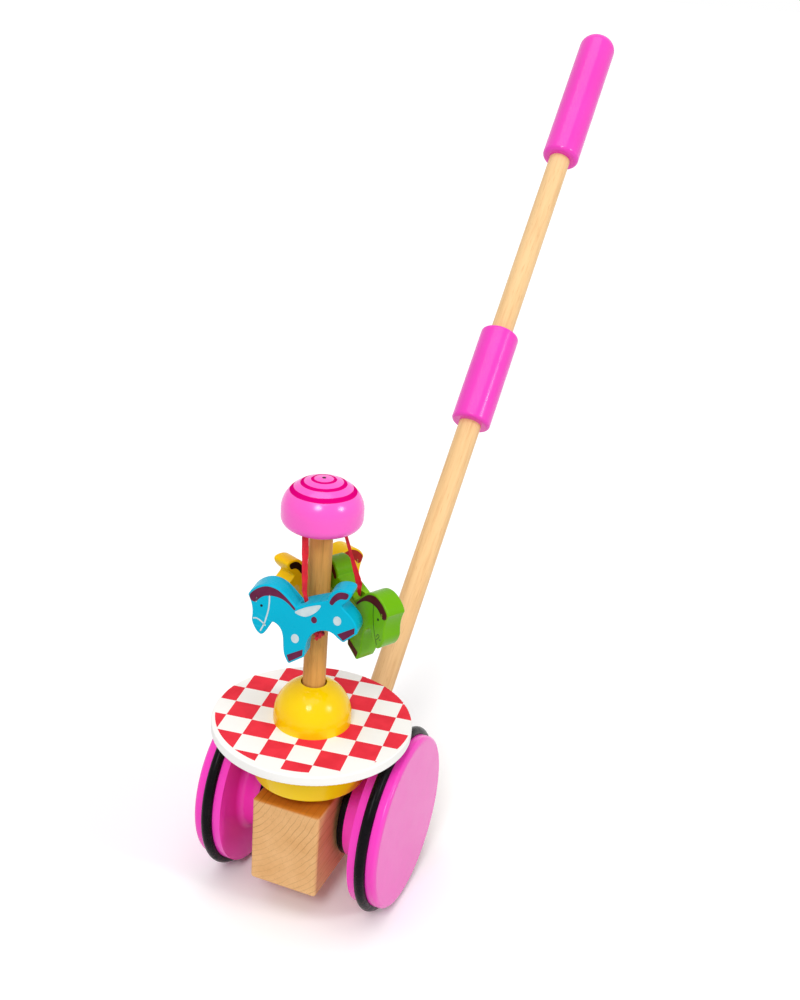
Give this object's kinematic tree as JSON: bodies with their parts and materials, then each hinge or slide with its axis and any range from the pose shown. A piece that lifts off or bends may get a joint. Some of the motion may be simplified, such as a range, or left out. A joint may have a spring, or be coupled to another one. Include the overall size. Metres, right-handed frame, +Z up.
{
  "type": "toddler push toy",
  "caption": "Wooden push-along toy: pink wheels with black rubber tyres, a long wooden handle with pink grip, and a roundabout with hanging cut-out horses under a pink cap.",
  "frame": {"origin": "on the floor under the middle of the whole toy's bounding box, handle included, with the toy standing level on its two wheels", "axes": "+Z up along the roundabout's post, +X along the axle to the toy's right-hand wheel seen from behind the handle, +Y back along the leaning handle towards the child who pushes"},
  "size_m": [0.116, 0.5606, 0.4772],
  "materials": {
    "beech": "satin clear varnish over fine beech grain",
    "pale_wood": "satin clear varnish on turned rod",
    "post_wood": "satin clear varnish on turned rod",
    "pink_wheel": "glossy pink lacquer on turned wood",
    "pink_grip": "glossy pink lacquer on turned wood",
    "pink_cap": "glossy pink lacquer with printed rings",
    "yellow": "glossy yellow lacquer",
    "checker": "white lacquer with a red checker print",
    "blue_horse": "satin blue lacquer with printed marks",
    "green_horse": "satin green lacquer with printed marks",
    "yellow_horse": "satin yellow lacquer with printed marks",
    "black_rubber": "matt",
    "steel": "bright",
    "pin_dark": "dark, blunt nail head",
    "red_cord": "flat red ribbon"
  },
  "bodies": {
    "base": {"block": "beech", "rod_lower": "pale_wood", "rod_upper": "pale_wood", "sleeve": "pink_grip", "grip": "pink_grip"},
    "wheelset": {"axle": "steel", "wheel_left": "pink_wheel", "wheel_right": "pink_wheel", "tyre_left": "black_rubber", "tyre_right": "black_rubber", "ring_left": "black_rubber", "ring_right": "black_rubber", "washer_left": "steel", "washer_right": "steel"},
    "carousel": {"post": "post_wood", "bowl": "yellow", "disc": "checker", "dome": "yellow", "cap": "pink_cap", "cap_pin": "pin_dark"},
    "blue_horse": {"horse_blue": "blue_horse", "cord_blue": "red_cord"},
    "green_horse": {"horse_green": "green_horse", "cord_green": "red_cord"},
    "yellow_horse": {"horse_yellow": "yellow_horse", "cord_yellow": "red_cord"}
  },
  "joints": [
    {"name": "wheel_spin", "type": "hinge", "parent": "base", "child": "wheelset", "pos_m": [0, -0.20477, 0.0555], "axis": [1, 0, 0], "continuous": true},
    {"name": "carousel_spin", "type": "hinge", "parent": "base", "child": "carousel", "pos_m": [0, -0.22277, 0.078], "axis": [0, 0, 1], "continuous": true},
    {"name": "blue_swing", "type": "hinge", "parent": "carousel", "child": "blue_horse", "pos_m": [-0.0047, -0.23786, 0.2403], "axis": [-0.9998, -0.0175, 0], "range_deg": [0, 35]},
    {"name": "green_swing", "type": "hinge", "parent": "carousel", "child": "green_horse", "pos_m": [0.01541, -0.2193, 0.2403], "axis": [0.1908, -0.9816, 0], "range_deg": [0, 35]},
    {"name": "yellow_swing", "type": "hinge", "parent": "carousel", "child": "yellow_horse", "pos_m": [-0.01072, -0.21116, 0.2403], "axis": [0.891, 0.454, 0], "range_deg": [0, 35]}
  ],
  "couplings": [
    {"joint": "carousel_spin", "follows": "wheel_spin", "ratio": 1.1937}
  ]
}
